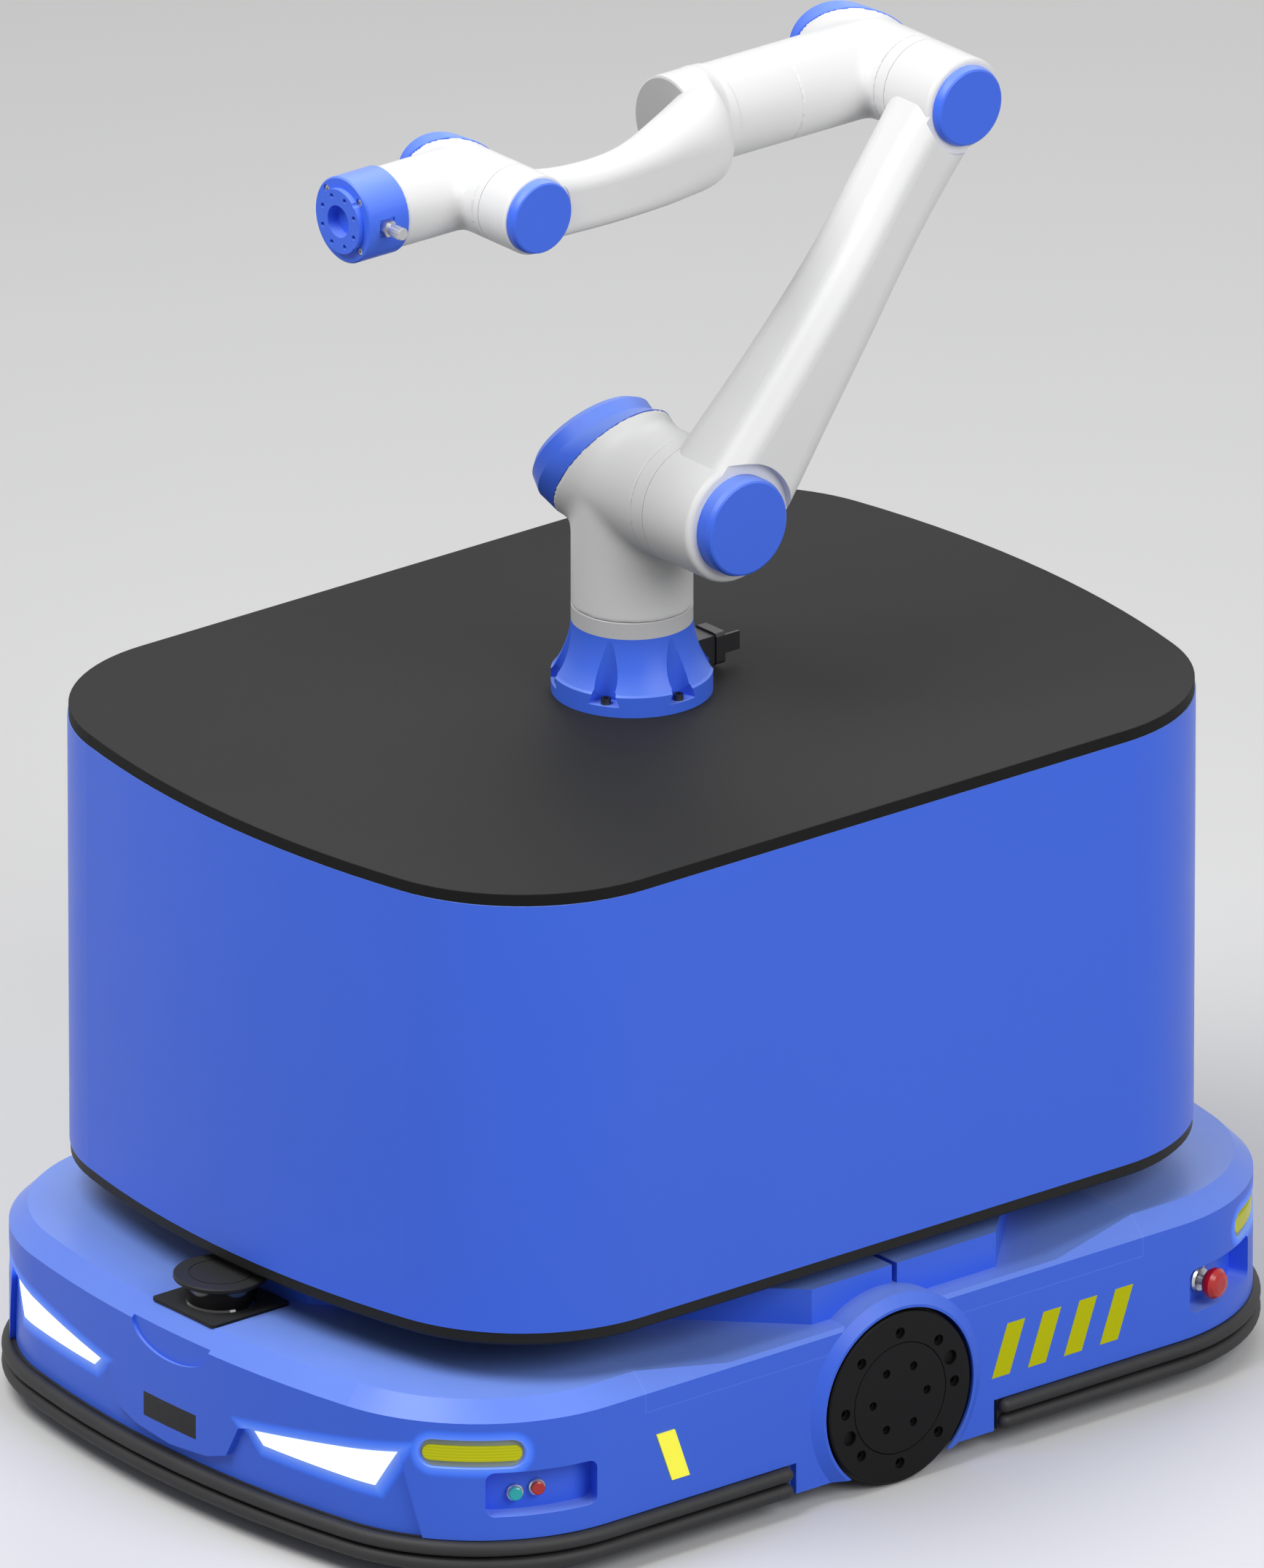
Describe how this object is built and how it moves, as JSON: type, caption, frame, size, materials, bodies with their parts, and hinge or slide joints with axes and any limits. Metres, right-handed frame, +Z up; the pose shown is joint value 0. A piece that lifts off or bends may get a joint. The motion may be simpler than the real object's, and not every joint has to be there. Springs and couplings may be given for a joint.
{
  "type": "mobile robot with arm",
  "caption": "Wheeled mobile robot base with a tall cabinet and a jointed collaborative arm on its roof, with swivel casters, bumpers, scanner and push buttons.",
  "frame": {"origin": "centre of the footprint on the floor", "axes": "+Z up, -Y to the front with the scanner, +X to the side with the push buttons"},
  "size_m": [0.8036, 1.1414, 1.2965],
  "materials": {
    "blue_paint": "satin",
    "blue_caps": "satin",
    "body_grey": "matte",
    "roof_grey": "matte",
    "steel_black": "satin",
    "rubber_black": "matte",
    "wheel_metal": "satin",
    "lamp_white": "gloss",
    "lens_yellow": "gloss",
    "reflector_yellow": "gloss",
    "gloss_black": "gloss",
    "black_plastic": "satin",
    "motor_metal": "satin",
    "contact_metal": "satin",
    "arm_white": "satin",
    "arm_grey": "satin",
    "bolt_steel": "satin",
    "button_green": "gloss",
    "button_red": "gloss",
    "estop_red": "gloss"
  },
  "bodies": {
    "base": {"chassis_frame": "steel_black", "body_shell": "body_grey", "side_lids": "body_grey", "wheel_arches": "body_grey", "drive_cover_front": "body_grey", "drive_cover_rear": "body_grey", "bumper_rails": "rubber_black", "headlights": "lamp_white", "indicator_lenses": "lens_yellow", "camera_window": "gloss_black", "lidar_plate": "gloss_black", "lidar_body": "gloss_black", "lidar_cap": "gloss_black", "button_bezels": "black_plastic", "estop_collar": "black_plastic", "charge_contacts": "contact_metal", "reflectors": "reflector_yellow", "battery_pack": "black_plastic", "electronics": "black_plastic", "gearmotors": "motor_metal", "caster_plates": "steel_black", "cabinet_supports": "steel_black", "cabinet_base": "roof_grey", "cabinet_shell": "blue_paint", "cabinet_frame": "steel_black", "arm_pedestal": "steel_black", "roof_plate": "roof_grey", "arm_base": "arm_white", "base_bolts": "bolt_steel", "base_connector": "black_plastic", "base_ring": "blue_caps"},
    "start_button": {"start_button": "button_green"},
    "stop_button": {"stop_button": "button_red"},
    "estop_stem": {"estop_stem": "black_plastic"},
    "estop_head": {"estop_head": "estop_red"},
    "drive_wheel_left": {"drive_wheel_left": "wheel_metal", "tyre_left": "rubber_black"},
    "drive_wheel_right": {"drive_wheel_right": "wheel_metal", "tyre_right": "rubber_black"},
    "shoulder": {"shoulder_housing": "arm_white", "shoulder_rear_cap": "blue_caps"},
    "upper_arm": {"upper_arm": "arm_white", "upper_arm_caps": "blue_caps"},
    "elbow": {"elbow_housing": "arm_white", "elbow_rear_cap": "blue_caps"},
    "forearm": {"forearm": "arm_white", "forearm_end_cover": "arm_grey", "forearm_cap": "blue_caps"},
    "wrist": {"wrist_housing": "arm_white", "wrist_rear_cap": "blue_caps"},
    "flange": {"tool_flange": "arm_grey", "tool_connector": "bolt_steel"},
    "caster_fork_fl": {"caster_fork_fl": "steel_black"},
    "caster_wheel_fl": {"caster_wheel_fl": "rubber_black"},
    "caster_fork_fr": {"caster_fork_fr": "steel_black"},
    "caster_wheel_fr": {"caster_wheel_fr": "rubber_black"},
    "caster_fork_rl": {"caster_fork_rl": "steel_black"},
    "caster_wheel_rl": {"caster_wheel_rl": "rubber_black"},
    "caster_fork_rr": {"caster_fork_rr": "steel_black"},
    "caster_wheel_rr": {"caster_wheel_rr": "rubber_black"}
  },
  "joints": [
    {"name": "arm_joint_1", "type": "hinge", "parent": "base", "child": "shoulder", "pos_m": [0, 0, 0.7746], "axis": [0, 0, 1], "range_deg": [-175, 175]},
    {"name": "arm_joint_2", "type": "hinge", "parent": "shoulder", "child": "upper_arm", "pos_m": [0.071, 0, 0.9017], "axis": [1, 0, 0], "range_deg": [-60, 45]},
    {"name": "arm_joint_3", "type": "hinge", "parent": "upper_arm", "child": "elbow", "pos_m": [0.0575, 0.2932, 1.2465], "axis": [1, 0, 0], "range_deg": [-150, 30]},
    {"name": "arm_joint_4", "type": "hinge", "parent": "elbow", "child": "forearm", "pos_m": [0, 0.17, 1.2465], "axis": [0, 1, 0], "range_deg": [-170, 170]},
    {"name": "arm_joint_5", "type": "hinge", "parent": "forearm", "child": "wrist", "pos_m": [0.058, -0.2009, 1.2465], "axis": [1, 0, 0], "range_deg": [-110, 110]},
    {"name": "arm_joint_6", "type": "hinge", "parent": "wrist", "child": "flange", "pos_m": [0, -0.3017, 1.2465], "axis": [0, 1, 0], "range_deg": [-175, 175]},
    {"name": "drive_wheel_left_spin", "type": "hinge", "parent": "base", "child": "drive_wheel_left", "pos_m": [0.372, 0, 0.0882], "axis": [1, 0, 0], "continuous": true},
    {"name": "drive_wheel_right_spin", "type": "hinge", "parent": "base", "child": "drive_wheel_right", "pos_m": [-0.372, 0, 0.0882], "axis": [1, 0, 0], "continuous": true},
    {"name": "caster_fl_swivel", "type": "hinge", "parent": "base", "child": "caster_fork_fl", "pos_m": [0.235, -0.42, 0.096], "axis": [0, 0, 1], "continuous": true},
    {"name": "caster_fl_roll", "type": "hinge", "parent": "caster_fork_fl", "child": "caster_wheel_fl", "pos_m": [0.235, -0.392, 0.0375], "axis": [1, 0, 0], "continuous": true},
    {"name": "caster_fr_swivel", "type": "hinge", "parent": "base", "child": "caster_fork_fr", "pos_m": [-0.235, -0.42, 0.096], "axis": [0, 0, 1], "continuous": true},
    {"name": "caster_fr_roll", "type": "hinge", "parent": "caster_fork_fr", "child": "caster_wheel_fr", "pos_m": [-0.235, -0.392, 0.0375], "axis": [1, 0, 0], "continuous": true},
    {"name": "caster_rl_swivel", "type": "hinge", "parent": "base", "child": "caster_fork_rl", "pos_m": [0.235, 0.42, 0.096], "axis": [0, 0, 1], "continuous": true},
    {"name": "caster_rl_roll", "type": "hinge", "parent": "caster_fork_rl", "child": "caster_wheel_rl", "pos_m": [0.235, 0.448, 0.0375], "axis": [1, 0, 0], "continuous": true},
    {"name": "caster_rr_swivel", "type": "hinge", "parent": "base", "child": "caster_fork_rr", "pos_m": [-0.235, 0.42, 0.096], "axis": [0, 0, 1], "continuous": true},
    {"name": "caster_rr_roll", "type": "hinge", "parent": "caster_fork_rr", "child": "caster_wheel_rr", "pos_m": [-0.235, 0.448, 0.0375], "axis": [1, 0, 0], "continuous": true},
    {"name": "start_button_press", "type": "slide", "parent": "base", "child": "start_button", "axis": [-0.8846, 0.4664, 0], "range_m": [0, 0.003], "stiffness_N_per_m": 600, "springref_m": -0.001},
    {"name": "stop_button_press", "type": "slide", "parent": "base", "child": "stop_button", "axis": [-0.9348, 0.3551, 0], "range_m": [0, 0.003], "stiffness_N_per_m": 600, "springref_m": -0.001},
    {"name": "estop_press", "type": "slide", "parent": "base", "child": "estop_stem", "axis": [-0.9694, -0.2453, 0], "range_m": [0, 0.005]},
    {"name": "estop_twist", "type": "hinge", "parent": "estop_stem", "child": "estop_head", "pos_m": [0.38809, 0.3972, 0.097], "axis": [0.9694, 0.2453, 0], "range_deg": [0, 45], "stiffness_Nm_per_rad": 0.2}
  ]
}
